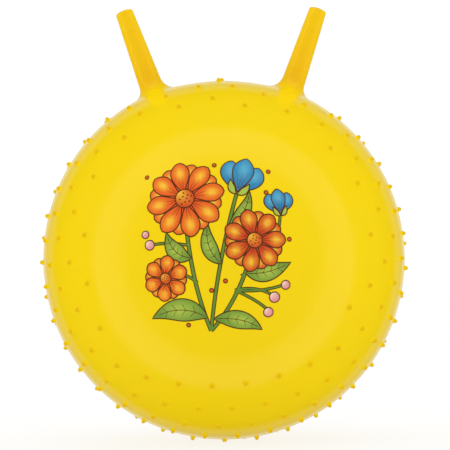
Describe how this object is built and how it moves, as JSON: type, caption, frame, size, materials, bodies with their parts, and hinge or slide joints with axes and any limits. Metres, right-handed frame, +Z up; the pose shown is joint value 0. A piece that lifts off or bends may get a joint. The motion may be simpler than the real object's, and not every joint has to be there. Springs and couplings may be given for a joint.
{
  "type": "hopper ball",
  "caption": "Inflated hopper ball with hollow horns to hold, a nubbed massage skin with a smooth front, and an air valve with a push-in plug.",
  "frame": {"origin": "on the floor under the ball's centre, at the flat tips of the nubs that it stands on", "axes": "+Z up between the horns, -Y towards the smooth printed front, +X to the right of it"},
  "size_m": [0.5081, 0.504, 0.6005],
  "materials": {
    "skin": "satin soft vinyl, lemon yellow, darker on the nubs",
    "horn": "satin soft vinyl, golden yellow",
    "valve_collar": "satin soft vinyl, golden yellow",
    "valve_plug": "smooth off-white stopper plastic",
    "print": "thin printed ink on the skin, orange, blue, green, pink and brown"
  },
  "bodies": {
    "ball": {"ball_skin": "skin", "left_horn": "horn", "right_horn": "horn", "valve_collar": "valve_collar"},
    "plug": {"valve_plug": "valve_plug"}
  },
  "joints": [
    {"name": "plug_pull", "type": "slide", "parent": "ball", "child": "plug", "axis": [0, 1, 0], "range_m": [0, 0.022]}
  ]
}
